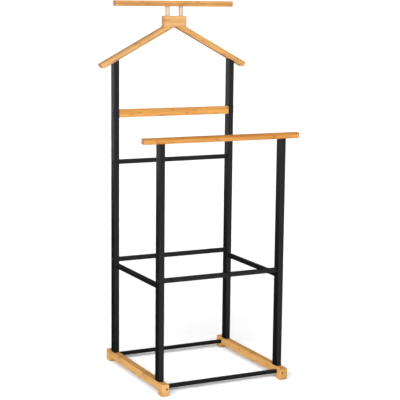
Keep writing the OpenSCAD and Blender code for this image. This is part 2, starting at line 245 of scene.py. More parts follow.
def cut_away(mesh, cutters):
    """The mesh with every cutter, a closed mesh, taken out of it."""
    if not cutters:
        return mesh
    body = bpy.data.objects.new("body_to_cut", mesh)
    bpy.context.collection.objects.link(body)
    tools = []
    for cutter in cutters:
        tool = bpy.data.objects.new("cutter", cutter)
        bpy.context.collection.objects.link(tool)
        tools.append(tool)
        modifier = body.modifiers.new("cut", "BOOLEAN")
        modifier.operation = "DIFFERENCE"
        modifier.solver = "EXACT"
        modifier.object = tool
    bpy.context.view_layer.update()
    result = bpy.data.meshes.new_from_object(body.evaluated_get(bpy.context.evaluated_depsgraph_get()))
    for spare in [body, *tools]:
        bpy.data.objects.remove(spare)
    return result


def show(name, mesh, material, slot, *replaced):
    """Puts a finished mesh in the scene as a piece that stands for CAD nodes."""
    piece = bpy.data.objects.new(name, mesh)
    bpy.context.collection.objects.link(piece)
    mesh.materials.clear()
    mesh.materials.append(material)
    mesh.shade_smooth()
    mesh.set_sharp_from_angle(angle=SMOOTH_ANGLE)
    weighted = piece.modifiers.new("flat faces", "WEIGHTED_NORMAL")
    weighted.keep_sharp = True
    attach(piece, "root")
    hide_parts(*replaced)


# ---- Shader helpers ----

def new_material(name):
    """A new material, its node tree and its shader."""
    material = bpy.data.materials.new(name)
    material.use_nodes = True
    return material, material.node_tree, material.node_tree.nodes["Principled BSDF"]


def add(tree, kind, inputs=None, **settings):
    """Adds a shader node, with its settings and its inputs as values or links."""
    node = tree.nodes.new("ShaderNode" + kind)
    for key, value in settings.items():
        setattr(node, key, value)
    for key, value in (inputs or {}).items():
        connect(tree, node.inputs[key], value)
    return node


def connect(tree, socket, value):
    """Gives a socket a link, if the value is another socket, or the value itself."""
    if isinstance(value, bpy.types.NodeSocket):
        tree.links.new(value, socket)
    else:
        socket.default_value = value


def calc(tree, operation, *values):
    """The result of a Math node."""
    node = add(tree, "Math", operation=operation)
    for socket, value in zip(node.inputs, values):
        connect(tree, socket, value)
    return node.outputs[0]


def spread(tree, value, low, high, new_low, new_high):
    """Maps a value from one range to another, and clamps it there."""
    node = add(tree, "MapRange", {"Value": value, "From Min": low, "From Max": high,
                                  "To Min": new_low, "To Max": new_high})
    return node.outputs["Result"]


def blended(tree, amount, first, second):
    """The first colour at amount 0, the second at amount 1, and their mix between."""
    node = add(tree, "Mix", data_type="RGBA")
    connect(tree, node.inputs["Factor"], amount)
    connect(tree, node.inputs[MIX_FIRST], first)
    connect(tree, node.inputs[MIX_SECOND], second)
    return node.outputs[MIX_RESULT]


def scaled(tree, vector, x, y, z):
    """Coordinates for a pattern that repeats about x, y and z times in a metre."""
    node = add(tree, "VectorMath", {0: vector, 1: (x, y, z)}, operation="MULTIPLY")
    return node.outputs[0]


def noise(tree, vector, detail=3.0, roughness=0.55):
    """Smooth noise from 0 to 1, about one blob to each unit of the vector."""
    node = add(tree, "TexNoise", {"Vector": vector, "Scale": 1.0, "Detail": detail,
                                  "Roughness": roughness})
    return node.outputs["Fac"]


def bump(tree, height, distance, strength):
    node = add(tree, "Bump", {"Height": height, "Distance": distance, "Strength": strength})
    return node.outputs["Normal"]


# ---- Materials ----

def bamboo_material():
    """Laminated bamboo under a satin lacquer. It reads each bar's own grain coordinates:
    along the bar, across it, and through its plies."""
    material, tree, shader = new_material("laminated_bamboo")
    grain = add(tree, "Attribute", attribute_name="grain").outputs["Vector"]
    ends = add(tree, "Attribute", attribute_name="end_grain").outputs["Fac"]
    look = add(tree, "SeparateXYZ", {0: add(tree, "Attribute", attribute_name="look").outputs["Vector"]})
    shade, paleness, end_darkness = look.outputs
    parts = add(tree, "SeparateXYZ", {0: grain})
    along, height = parts.outputs["X"], parts.outputs["Z"]

    bar = calc(tree, "FLOOR", calc(tree, "DIVIDE", along, BAR_OFFSET))
    layer = calc(tree, "DIVIDE", height, PLY)
    ply = calc(tree, "FLOOR", layer)
    seed = add(tree, "CombineXYZ", {"X": ply, "Y": bar})
    tone = add(tree, "TexWhiteNoise", {"Vector": seed.outputs[0]}, noise_dimensions="3D")

    streaks = noise(tree, scaled(tree, grain, 3, 420, 420), detail=4)
    fibres = noise(tree, scaled(tree, grain, 26, 2600, 2600), detail=2)
    clouds = noise(tree, scaled(tree, grain, 9, 40, 40), detail=2)

    # Pale strips next to darker ones, streaked along the grain
    depth = calc(tree, "MULTIPLY_ADD", tone.outputs["Value"], 0.6, shade)
    depth = calc(tree, "MULTIPLY_ADD", calc(tree, "SUBTRACT", streaks, 0.5), 0.95, depth)
    depth = calc(tree, "MULTIPLY_ADD", calc(tree, "SUBTRACT", clouds, 0.5), 1.3, depth)
    depth = spread(tree, depth, 0.0, 1.0, 0.0, 1.0)
    warm = blended(tree, depth, srgb(204, 148, 74), srgb(154, 96, 28))
    pale = blended(tree, depth, srgb(194, 154, 102), srgb(146, 104, 56))
    colour = blended(tree, paleness, warm, pale)

    # Fine dark fibres
    fibre_share = spread(tree, fibres, 0.52, 0.72, 0.0, 0.42)
    colour = blended(tree, fibre_share, colour, srgb(130, 74, 26))

    # The cane's knuckles: a narrow dark band in one strip at a time
    wander = noise(tree, scaled(tree, grain, 60, 500, 500), detail=2)
    shifted = calc(tree, "MULTIPLY_ADD", tone.outputs["Value"], 0.37, along)
    cell = calc(tree, "FRACT", calc(tree, "DIVIDE", shifted, KNUCKLE_SPACING))
    from_middle = calc(tree, "ABSOLUTE", calc(tree, "SUBTRACT", cell, 0.5))
    distance = calc(tree, "MULTIPLY", from_middle, KNUCKLE_SPACING)
    distance = calc(tree, "MULTIPLY_ADD", wander, 2.2 * MM, distance)
    halo = spread(tree, distance, 2 * MM, 14 * MM, 0.35, 0.0)
    colour = blended(tree, halo, colour, srgb(150, 92, 34))
    knuckle = spread(tree, distance, 1.0 * MM, 3.2 * MM, 1.0, 0.0)
    colour = blended(tree, calc(tree, "MULTIPLY", knuckle, 0.65), colour, srgb(106, 58, 22))

    # A thin glue line between plies
    seam = calc(tree, "ABSOLUTE", calc(tree, "SUBTRACT", calc(tree, "FRACT", layer), 0.5))
    glue = spread(tree, seam, 0.470, 0.497, 0.0, 1.0)
    colour = blended(tree, calc(tree, "MULTIPLY", glue, 0.30), colour, srgb(140, 86, 36))

    # Ends show the fibres as dots, and drink more lacquer
    dots = noise(tree, scaled(tree, grain, 40, 1500, 1500), detail=2, roughness=0.7)
    end_colour = blended(tree, spread(tree, dots, 0.45, 0.62, 0.0, 1.0),
                         srgb(160, 122, 74), srgb(104, 70, 36))
    colour = blended(tree, calc(tree, "MULTIPLY", ends, end_darkness), colour, end_colour)

    connect(tree, shader.inputs["Base Color"], colour)
    connect(tree, shader.inputs["Roughness"], spread(tree, streaks, 0.3, 0.7, 0.42, 0.56))
    shader.inputs["Specular IOR Level"].default_value = 0.25
    shader.inputs["Coat Weight"].default_value = 0.10
    shader.inputs["Coat Roughness"].default_value = 0.28
    relief = calc(tree, "MULTIPLY_ADD", knuckle, 0.8, fibres)
    relief = calc(tree, "SUBTRACT", relief, calc(tree, "MULTIPLY", glue, 0.6))
    connect(tree, shader.inputs["Normal"], bump(tree, relief, 0.06 * MM, 0.6))
    return material


def peg_material():
    """Plain pale hardwood, its grain upright."""
    material, tree, shader = new_material("pale_peg_wood")
    place = add(tree, "TexCoord").outputs["Object"]
    streaks = noise(tree, scaled(tree, place, 700, 700, 22), detail=4)
    pores = noise(tree, scaled(tree, place, 3200, 3200, 160), detail=2)
    colour = blended(tree, spread(tree, streaks, 0.3, 0.7, 0.0, 1.0),
                     srgb(192, 172, 154), srgb(176, 150, 128))
    colour = blended(tree, spread(tree, pores, 0.60, 0.75, 0.0, 0.45), colour, srgb(168, 132, 96))
    connect(tree, shader.inputs["Base Color"], colour)
    connect(tree, shader.inputs["Roughness"], spread(tree, streaks, 0.3, 0.7, 0.42, 0.58))
    connect(tree, shader.inputs["Normal"], bump(tree, pores, 0.04 * MM, 0.5))
    shader.inputs["Specular IOR Level"].default_value = 0.35
    return material


def powder_coat_material():
    """Satin black powder coat with its fine orange peel."""
    material, tree, shader = new_material("black_powder_coat")
    place = add(tree, "TexCoord").outputs["Object"]
    peel = noise(tree, scaled(tree, place, 1100, 1100, 1100), detail=2, roughness=0.5)
    grit = noise(tree, scaled(tree, place, 4200, 4200, 4200), detail=1)
    drift = noise(tree, scaled(tree, place, 35, 35, 35), detail=3)
    colour = blended(tree, spread(tree, drift, 0.35, 0.65, 0.0, 1.0),
                     srgb(11, 11, 12), srgb(17, 17, 18))
    colour = blended(tree, spread(tree, grit, 0.64, 0.72, 0.0, 0.35), colour, srgb(40, 40, 40))
    connect(tree, shader.inputs["Base Color"], colour)
    rough = calc(tree, "ADD", spread(tree, peel, 0.3, 0.7, 0.0, 0.08),
                 spread(tree, drift, 0.3, 0.7, 0.34, 0.43))
    connect(tree, shader.inputs["Roughness"], rough)
    connect(tree, shader.inputs["Normal"], bump(tree, peel, 0.05 * MM, 0.35))
    shader.inputs["Specular IOR Level"].default_value = 0.19
    return material


def metal_material(name, light, dark, roughness):
    """Plated steel with faint turning marks and dull patches."""
    material, tree, shader = new_material(name)
    place = add(tree, "TexCoord").outputs["Object"]
    patches = noise(tree, scaled(tree, place, 260, 260, 260), detail=3)
    marks = noise(tree, scaled(tree, place, 2400, 2400, 2400), detail=3, roughness=0.7)
    colour = blended(tree, spread(tree, patches, 0.35, 0.65, 0.0, 1.0), light, dark)
    connect(tree, shader.inputs["Base Color"], colour)
    connect(tree, shader.inputs["Roughness"], spread(tree, patches, 0.3, 0.7, roughness, roughness + 0.14))
    connect(tree, shader.inputs["Normal"], bump(tree, marks, 0.02 * MM, 0.5))
    shader.inputs["Metallic"].default_value = 1.0
    return material


def nylon_material():
    """Dark moulded nylon with a fine uneven skin."""
    material, tree, shader = new_material("moulded_nylon")
    place = add(tree, "TexCoord").outputs["Object"]
    skin = noise(tree, scaled(tree, place, 1800, 1800, 1800), detail=2)
    connect(tree, shader.inputs["Base Color"],
            blended(tree, spread(tree, skin, 0.4, 0.6, 0.0, 1.0), srgb(58, 58, 60), srgb(74, 74, 76)))
    connect(tree, shader.inputs["Roughness"], spread(tree, skin, 0.3, 0.7, 0.45, 0.62))
    connect(tree, shader.inputs["Normal"], bump(tree, skin, 0.03 * MM, 0.5))
    return material


BAMBOO = bamboo_material()
PEG_WOOD = peg_material()
POWDER_COAT = powder_coat_material()
BLACK_BOLT = metal_material("black_zinc", srgb(62, 62, 64), srgb(46, 46, 48), 0.30)
BRASS = metal_material("yellow_zinc", srgb(176, 138, 80), srgb(140, 104, 56), 0.34)
ZINC = metal_material("bright_zinc", srgb(206, 206, 210), srgb(176, 177, 182), 0.26)
NYLON = nylon_material()


# ---- Solids ----

def arc(centre_a, centre_b, radius, start, end, steps=ARC_STEPS):
    """Points on an arc, its angles in degrees."""
    angles = [math.radians(start + (end - start) * i / steps) for i in range(steps + 1)]
    return [(centre_a + radius * math.cos(t), centre_b + radius * math.sin(t)) for t in angles]


def skin(bm, rings):
    """Faces between each ring of vertices and the next."""
    for first, second in zip(rings, rings[1:]):
        for i in range(len(first)):
            j = (i + 1) % len(first)
            bm.faces.new((first[i], first[j], second[j], second[i]))


def prism(outline, start, end, place):
    """A solid whose outline, in a plane, runs from start to end; place(a, b, depth) gives a point."""
    bm = bmesh.new()
    near = [bm.verts.new(place(a, b, start)) for a, b in outline]
    far = [bm.verts.new(place(a, b, end)) for a, b in outline]
    bm.faces.new(near)
    bm.faces.new(far)
    skin(bm, [near, far])
    bmesh.ops.recalc_face_normals(bm, faces=bm.faces)
    return bm


def round_edges(bm, radius, keep=lambda point: False):
    """Rounds every sharp outward edge, apart from those at whose middle keep(point) is true."""
    sharp = [edge for edge in bm.edges
             if edge.calc_face_angle_signed(0) > ROUNDED_EDGE_ANGLE
             and not keep((edge.verts[0].co + edge.verts[1].co) / 2)]
    bmesh.ops.bevel(bm, geom=sharp, offset=radius, offset_type="OFFSET", segments=EDGE_SEGMENTS,
                    profile=0.5, affect="EDGES", clamp_overlap=True)


def turned(profile, origin, direction, recess=None, depth=0.0):
    """A round solid from (radius, distance) points, its first and last rings closed by flat faces.
    A recess is a function of the angle that gives its radius; it sinks depth below the last ring."""
    direction = direction.normalized()
    side = direction.orthogonal().normalized()
    other = direction.cross(side)
    bm = bmesh.new()

    def ring(radius_at, distance):
        verts = []
        for i in range(TURNED_SIDES):
            angle = math.tau * i / TURNED_SIDES
            radius = radius_at(angle)
            spoke = side * math.cos(angle) + other * math.sin(angle)
            verts.append(bm.verts.new(origin + spoke * radius + direction * distance))
        return verts

    rings = [ring(lambda angle, r=radius: r, distance) for radius, distance in profile]
    top = profile[-1][1]
    bottom = top - depth
    if recess:
        rings.append(ring(recess, top))
        rings.append(ring(lambda angle: RECESS_TAPER * recess(angle), bottom))
    skin(bm, rings)
    for verts, distance in ((rings[0], profile[0][1]), (rings[-1], bottom)):
        centre = bm.verts.new(origin + direction * distance)
        for i in range(TURNED_SIDES):
            bm.faces.new((verts[i], verts[(i + 1) % TURNED_SIDES], centre))
    return bm


def turned_cutter(profile, origin, direction):
    """A round cutter from (radius, distance) points along a direction from the origin."""
    return mesh_from(turned(profile, origin, direction), "cutter")


def rim(radius, width, depth):
    """The chamfer round a hole's mouth, as the outer end of its cutter's profile."""
    return [(radius, depth), (radius + width, -HOLE_RIM_RISE), (radius + width, -CUTTER_START)]


def block_cutter(low, high):
    """A square cutter between two corners."""
    bm = bmesh.new()
    bmesh.ops.create_cube(bm, size=1)
    centre, size = (low + high) / 2, high - low
    for vertex in bm.verts:
        vertex.co = Vector([c + s * v for c, s, v in zip(centre, size, vertex.co)])
    return mesh_from(bm, "cutter")


# ---- Bamboo pieces ----

def lay_grain(mesh, node, along, across):
    """Writes the bar's look and grain coordinates at each vertex, and marks its end faces."""
    number, *bar_look = BAR_LOOKS[node]
    through = along.cross(across)
    low = min(v.co.dot(through) for v in mesh.vertices)
    grain = mesh.attributes.new("grain", "FLOAT_VECTOR", "POINT")
    for vertex, value in zip(mesh.vertices, grain.data):
        place = vertex.co
        value.vector = ((number + 0.5) * BAR_OFFSET + place.dot(along), place.dot(across),
                        place.dot(through) - low + PLY_START)
    ends = mesh.attributes.new("end_grain", "FLOAT", "FACE")
    for face, value in zip(mesh.polygons, ends.data):
        value.value = 1.0 if abs(face.normal.dot(along)) > END_FACE_COSINE else 0.0
    looks = mesh.attributes.new("look", "FLOAT_VECTOR", "POINT")
    for value in looks.data:
        value.vector = bar_look


def bamboo_bar(name, node, cutters=()):
    """A straight bar along X with rounded edges."""
    low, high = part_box(node)
    outline = [(low.y, low.z), (high.y, low.z), (high.y, high.z), (low.y, high.z)]
    bm = prism(outline, low.x, high.x, lambda a, b, depth: Vector((depth, a, b)))
    round_edges(bm, BAR_EDGE)
    mesh = cut_away(mesh_from(bm, name), cutters)
    lay_grain(mesh, node, X, Y)
    show(name, mesh, BAMBOO, "bamboo", node)


def base_rail_outline(half, top):
    """Side view of a base rail, front end first: its two feet, then its straight top.
    half is half its length."""
    inner = half - FOOT_LENGTH
    front_foot = (arc(-half + FOOT_OUTER_RADIUS, FOOT_OUTER_RADIUS, FOOT_OUTER_RADIUS, 180, 270)
                  + arc(-inner - FOOT_INNER_RADIUS, FOOT_INNER_RADIUS, FOOT_INNER_RADIUS, 270, 360)
                  + [(-inner, FOOT_HEIGHT)])
    back_foot = [(-a, b) for a, b in reversed(front_foot)]
    return front_foot + back_foot + [(half, top), (-half, top)]


def base_rail(side):
    """A base rail with its feet, sockets, screw holes and bolt pockets."""
    node = f"base_rail_{side}"
    low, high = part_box(node)
    bm = prism(base_rail_outline(high.y, high.z), low.x, high.x, lambda a, b, depth: Vector((depth, a, b)))
    round_edges(bm, BAR_EDGE)
    mesh = cut_away(mesh_from(bm, node), base_rail_cutters(side))
    lay_grain(mesh, node, Y, X)
    show(f"{side}_base_rail_bamboo", mesh, BAMBOO, "bamboo", node)


def base_rail_cutters(side):
    """A socket for each base tube, a hole for its lock screw and a pocket under each post."""
    sign = SIDES[side]
    low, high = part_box(f"base_rail_{side}")
    inner = low.x if sign > 0 else high.x
    cutters = []
    for end in ENDS:
        tube_low, tube_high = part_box(f"base_tube_{end}")
        mouth, bottom = inner - sign * CUTTER_START, inner + sign * SOCKET_DEPTH
        cutters.append(block_cutter(
            Vector((min(mouth, bottom), tube_low.y - SOCKET_GAP, tube_low.z - SOCKET_GAP)),
            Vector((max(mouth, bottom), tube_high.y + SOCKET_GAP, tube_high.z + SOCKET_GAP))))
        cutters.append(lock_screw_cutter(sign, ENDS[end], high.y))
        centre = middle_of(f"{end}_post_{side}")
        pocket = [(FOOT_POCKET_RADIUS, -CUTTER_START), (FOOT_POCKET_RADIUS, FOOT_POCKET_DEPTH)]
        cutters.append(turned_cutter(pocket, Vector((centre.x, centre.y, FOOT_HEIGHT)), Z))
    return cutters


def lock_screw_place(sign, end):
    """Centre of a lock screw's head, on its upper face."""
    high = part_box("base_lock_screws")[1]
    x = high.x - LOCK_SCREW_HEAD.radius
    return Vector((sign * x, end * high.y, middle_of("base_tube_front").z))


def lock_screw_cutter(sign, end, half):
    """A countersunk hole with its screw's head below the rail's end face."""
    place = lock_screw_place(sign, end)
    profile = [(LOCK_SCREW_RADIUS, LOCK_SCREW_SINK + LOCK_SCREW_HEAD.height),
               (LOCK_SCREW_HEAD.radius, LOCK_SCREW_SINK)]
    profile += rim(LOCK_SCREW_HEAD.radius, width=0.4 * MM, depth=0.3 * MM)
    return turned_cutter(profile, Vector((place.x, end * half, place.z)), Vector((0, -end, 0)))


def trouser_rail():
    """The rail over the front posts, with a countersunk hole above each post."""
    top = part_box("trouser_rail")[1].z
    cutters = []
    for side in SIDES:
        centre = middle_of(f"front_post_{side}")
        profile = [(TOP_SCREW_RADIUS, RAIL_SCREW_HEAD.height + RAIL_SCREW_RECESS)]
        profile += rim(RAIL_SCREW_HEAD.radius, width=0.3 * MM, depth=RAIL_SCREW_RECESS)
        cutters.append(turned_cutter(profile, Vector((centre.x, centre.y, top)), -Z))
    bamboo_bar("trouser_rail_bamboo", "trouser_rail", cutters)


def arm_outline(slope_length, thickness):
    """A hanger arm in its own directions, along its slope and square to it, from the middle out."""
    tip = arc(slope_length - ARM_END_RADIUS, ARM_END_RADIUS, ARM_END_RADIUS, -90, 0)
    return [(0, 0)] + tip + [(slope_length, thickness), (thickness / math.tan(HANGER_SLOPE), thickness)]


def hanger_arm(side):
    """An arm that slopes down from the middle, cut upright where it meets the other one."""
    node = f"hanger_arm_{side}"
    sign = SIDES[side]
    low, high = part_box(node)
    top = high.z
    thickness = size_of("hanger_block").x / 2 * math.sin(HANGER_SLOPE)
    reach = max(abs(low.x), abs(high.x))
    slope_length = (reach - thickness * math.sin(HANGER_SLOPE)) / math.cos(HANGER_SLOPE)
    down = Vector((sign * math.cos(HANGER_SLOPE), 0, -math.sin(HANGER_SLOPE)))
    out = Vector((sign * math.sin(HANGER_SLOPE), 0, math.cos(HANGER_SLOPE)))
    start = Vector((0, 0, top))
    bm = prism(arm_outline(slope_length, thickness), low.y, high.y,
               lambda a, b, depth: start + down * a + out * b + Y * depth)
    round_edges(bm, BLOCK_EDGE, keep=lambda point: point.z > top - GLUED_REACH)
    mesh = cut_away(mesh_from(bm, node), [arm_pocket(side, top)])
    lay_grain(mesh, node, down, Y)
    show(f"{side}_hanger_arm_bamboo", mesh, BAMBOO, "bamboo", node)


def arm_underside(x, top):
    """Height of an arm's underside at a distance from the middle; top is its height there."""
    return top - abs(x) * math.tan(HANGER_SLOPE)


def arm_pocket(side, top):
    """The round pocket over a back post, as a cutter."""
    centre = middle_of(f"back_post_{side}")
    seat = Vector((centre.x, centre.y, arm_underside(centre.x, top) + ARM_SEAT))
    return turned_cutter([(ARM_POCKET_RADIUS, 0), (ARM_POCKET_RADIUS, ARM_POCKET_REACH)], seat, Z)


def hanger_block():
    """The block on the arms, its edges sharp where it is glued to them."""
    low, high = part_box("hanger_block")
    outline = [(low.x, low.z), (high.x, low.z), (high.x, high.z), (low.x, high.z)]
    bm = prism(outline, low.y, high.y, lambda a, b, depth: Vector((a, depth, b)))
    round_edges(bm, BLOCK_EDGE, keep=lambda point: point.z < low.z + GLUED_REACH)
    mesh = mesh_from(bm, "hanger_block")
    lay_grain(mesh, "hanger_block", X, Y)
    show("hanger_block_bamboo", mesh, BAMBOO, "bamboo", "hanger_block")


def peg(side):
    """A round peg with a small chamfer at each end."""
    node = f"peg_{side}"
    low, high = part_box(node)
    centre = middle_of(node)
    radius = (high.x - low.x) / 2
    length = high.z - low.z
    profile = [(radius - PEG_EDGE, 0), (radius, PEG_EDGE), (radius, length - PEG_EDGE),
               (radius - PEG_EDGE, length)]
    base = Vector((centre.x, centre.y, low.z))
    show(f"{side}_peg_turned", mesh_from(turned(profile, base, Z), node), PEG_WOOD, "peg_wood", node)


# ---- Steel tubes ----

def section(width, height, corner):
    """Points round a rectangle with round corners."""
    points = []
    for centre_a, centre_b, start in ((1, 1, 0), (-1, 1, 90), (-1, -1, 180), (1, -1, 270)):
        points += arc(centre_a * (width / 2 - corner), centre_b * (height / 2 - corner), corner,
                      start, start + 90, CORNER_STEPS)
    return points


def tube(outer, inner, place, start, end):
    """A hollow tube. start(a, b) and end(a, b) say where the wall begins and ends at a section's point."""
    bm = bmesh.new()
    rings = []
    for outline, limit in ((outer, start), (outer, end), (inner, end), (inner, start)):
        rings.append([bm.verts.new(place(a, b, limit(a, b))) for a, b in outline])
    skin(bm, rings + rings[:1])
    return bm


def level(value):
    """A tube's square end."""
    return lambda a, b: value


def post_top(side, end):
    """A post's upper end: square at the front, and cut along the arm's underside at the back."""
    if end == "front":
        return level(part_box(f"front_post_{side}")[1].z)
    centre = middle_of(f"back_post_{side}")
    arm_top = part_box(f"hanger_arm_{side}")[1].z
    return lambda a, b: arm_underside(centre.x + a, arm_top)


def post(side, end):
    """An upright tube between a base rail and what rests on it."""
    node = f"{end}_post_{side}"
    foot = level(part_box(node)[0].z)
    centre, size = middle_of(node), size_of(node)
    bm = tube(section(size.x, size.y, POST_CORNER),
              section(size.x - 2 * POST_WALL, size.y - 2 * POST_WALL, POST_CORNER - POST_WALL),
              lambda a, b, z: Vector((centre.x + a, centre.y + b, z)), foot, post_top(side, end))
    show(f"{end}_{side}_post_tube", mesh_from(bm, node), POWDER_COAT, "black_steel", node)


def rail_along_x(name, node, corner, wall):
    """A square tube that runs from side to side."""
    low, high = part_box(node)
    centre, size = middle_of(node), size_of(node)
    bm = tube(section(size.y, size.z, corner), section(size.y - 2 * wall, size.z - 2 * wall, corner - wall),
              lambda a, b, x: Vector((x, centre.y + a, centre.z + b)), level(low.x), level(high.x))
    show(name, mesh_from(bm, node), POWDER_COAT, "black_steel", node)


def side_rail(side):
    """A rail from front to back, with its weld beads."""
    node = f"side_rail_{side}"
    low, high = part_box(node)
    centre, size = middle_of(node), size_of(node)
    bm = tube(section(size.x, size.z, RAIL_CORNER),
              section(size.x - 2 * RAIL_WALL, size.z - 2 * RAIL_WALL, RAIL_CORNER - RAIL_WALL),
              lambda a, b, y: Vector((centre.x + a, y, centre.z + b)), level(low.y), level(high.y))
    show(f"{side}_side_rail_tube", mesh_from(bm, node), POWDER_COAT, "black_steel", node)
    for end, sign in ENDS.items():
        face = Vector((centre.x, sign * high.y, centre.z))
        weld_bead(f"{side}_{end}_weld_bead", face, size.x, size.z, sign)


def weld_bead(name, face, width, height, sign):
    """A rippled fillet of weld round a side rail's end, flat against the post."""
    outline = resampled(section(width, height, RAIL_CORNER), WELD_STEP)
    bm = bmesh.new()
    rings = []
    travelled = 0.0
    for i, (a, b) in enumerate(outline):
        before, after = outline[i - 1], outline[(i + 1) % len(outline)]
        travelled += math.hypot(a - before[0], b - before[1])
        tangent = Vector((after[0] - before[0], after[1] - before[1])).normalized()
        outward = Vector((tangent.y, -tangent.x))
        uprightness = outward.y ** 2
        radius = WELD_SIDE_RADIUS + (WELD_RADIUS - WELD_SIDE_RADIUS) * uprightness
        radius *= 1 + WELD_RIPPLE_SHARE * math.sin(math.tau * travelled / WELD_RIPPLE)
        rings.append(bead_ring(bm, face, sign, a, b, outward, radius))
    skin(bm, rings + rings[:1])
    show(name, mesh_from(bm, name), POWDER_COAT, "black_steel")


def bead_ring(bm, face, sign, a, b, outward, radius):
    """The bead's section at one point: a quarter-round fillet closed behind, in the joint's corner."""
    points = [(-WELD_BITE, -WELD_BITE), (radius, -WELD_BITE)]
    points += [(radius * math.cos(t), radius * math.sin(t)) for t in WELD_FACE_ANGLES]
    points += [(-WELD_BITE, radius)]
    verts = []
    for off_rail, off_post in points:
        spot = Vector((a, b)) + outward * off_rail
        verts.append(bm.verts.new(face + Vector((spot.x, -sign * off_post, spot.y))))
    return verts


def resampled(outline, step):
    """The same closed outline with points about a step apart."""
    points = []
    for (a, b), (next_a, next_b) in zip(outline, outline[1:] + outline[:1]):
        pieces = max(1, round(math.hypot(next_a - a, next_b - b) / step))
        points += [(a + (next_a - a) * i / pieces, b + (next_b - b) * i / pieces) for i in range(pieces)]
    return points


# ---- Screws ----

def hexagon(across_flats):
    """Radius of a hexagonal recess at an angle."""
    sixth = math.tau / 6
    return lambda angle: across_flats / 2 / math.cos(angle % sixth - sixth / 2)


def cross(shape):
    """Radius of a cross recess at an angle."""
    def radius(angle):
        c, s = max(abs(math.cos(angle)), TINY), max(abs(math.sin(angle)), TINY)
        return max(min(shape.reach / c, shape.half_width / s), min(shape.half_width / c, shape.reach / s))
    return radius


def domed(shaft_radius, shaft_length, head):
    """Profile of a screw with a domed head, its seat at distance 0."""
    dome = []
    for i in range(DOME_STEPS + 1):
        t = math.pi / 2 * i / DOME_STEPS
        dome.append((head.top_radius + (head.radius - head.top_radius) * math.cos(t),
                     head.height * (DOME_START + (1 - DOME_START) * math.sin(t))))
    tip = BOLT_TIP * shaft_radius
    return ([(shaft_radius - tip, -shaft_length), (shaft_radius, -shaft_length + tip),
             (shaft_radius, 0), (head.radius, 0)] + dome)


def countersunk(shaft_radius, length, head):
    """Profile of a flat-head screw, its head's upper face at distance 0."""
    return [(FLAT_HEAD_TIP_RADIUS * shaft_radius, -length),
            (shaft_radius, -length + FLAT_HEAD_TIP_LENGTH * shaft_radius),
            (shaft_radius, -head.height), (head.radius, -FLAT_HEAD_EDGE), (head.radius - FLAT_HEAD_EDGE, 0)]


def screws(name, node, material, slot, places, profile, recess, depth):
    """One piece for a set of equal screws. places lists (seat, direction the head faces)."""
    whole = bmesh.new()
    for seat, direction in places:
        part = turned(profile, seat, direction, recess, depth)
        mesh = mesh_from(part, "screw")
        whole.from_mesh(mesh)
        bpy.data.meshes.remove(mesh)
    show(name, mesh_from(whole, name), material, slot, node)


def rail_bolts():
    """Two bolts for each rail between the sides, through the posts."""
    post_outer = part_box("back_post_right")[1].x
    places = []
    for node in ("shelf_rail_front", "shelf_rail_back", "back_cross_rail"):
        centre = middle_of(node)
        for sign in SIDES.values():
            places.append((Vector((sign * post_outer, centre.y, centre.z)), X * sign))
    length = size_of("back_post_right").x + RAIL_BOLT_GRIP
    screws("rail_bolts_button_head", "cross_rail_bolts", BLACK_BOLT, "black_bolt", places,
           domed(BOLT_RADIUS, length, RAIL_BOLT_HEAD), hexagon(BOLT_KEY), RAIL_BOLT_KEY_DEPTH)


def slat_screws():
    """Two screws, one above the other, into each end of the slat."""
    centre = middle_of("back_slat")
    post_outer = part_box("slat_screws")[1].x - SLAT_SCREW_HEAD.height
    rise = size_of("slat_screws").z / 2 - SLAT_SCREW_HEAD.radius
    places = []
    for sign in SIDES.values():
        for step in (-rise, rise):
            places.append((Vector((sign * post_outer, centre.y, centre.z + step)), X * sign))
    length = size_of("back_post_right").x + SLAT_SCREW_GRIP
    screws("slat_screws_pan_head", "slat_screws", BLACK_BOLT, "black_bolt", places,
           domed(SLAT_SCREW_RADIUS, length, SLAT_SCREW_HEAD), cross(SLAT_SCREW_CROSS),
           SLAT_SCREW_CROSS.depth)


def foot_bolts():
    """A bolt up into each post, its head in the base rail's pocket."""
    seat = FOOT_HEIGHT + FOOT_POCKET_DEPTH
    places = []
    for side in SIDES:
        for end in ENDS:
            centre = middle_of(f"{end}_post_{side}")
            places.append((Vector((centre.x, centre.y, seat)), -Z))
    screws("foot_bolts_socket_head", "post_foot_bolts", ZINC, "screw_steel", places,
           domed(BOLT_RADIUS, FOOT_BOLT_LENGTH, FOOT_BOLT_HEAD), hexagon(BOLT_KEY), FOOT_BOLT_KEY_DEPTH)


def trouser_rail_screws():
    """A countersunk screw down into each front post."""
    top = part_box("trouser_rail")[1].z - RAIL_SCREW_SINK
    places = []
    for side in SIDES:
        centre = middle_of(f"front_post_{side}")
        places.append((Vector((centre.x, centre.y, top)), Z))
    screws("trouser_rail_screws_flat_head", "trouser_rail_screws", ZINC, "screw_steel", places,
           countersunk(TOP_SCREW_RADIUS, RAIL_SCREW_LENGTH, RAIL_SCREW_HEAD), cross(RAIL_SCREW_CROSS),
           RAIL_SCREW_CROSS.depth)


def arm_screws():
    """A screw down into each back post, its head in the arm's pocket."""
    places = []
    for side in SIDES:
        arm_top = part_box(f"hanger_arm_{side}")[1].z
        centre = middle_of(f"back_post_{side}")
        seat = arm_underside(centre.x, arm_top) + ARM_SEAT
        places.append((Vector((centre.x, centre.y, seat)), Z))
    screws("arm_screws_pan_head", "hanger_arm_screws", ZINC, "screw_steel", places,
           domed(TOP_SCREW_RADIUS, ARM_SCREW_LENGTH, ARM_SCREW_HEAD), cross(ARM_SCREW_CROSS),
           ARM_SCREW_CROSS.depth)


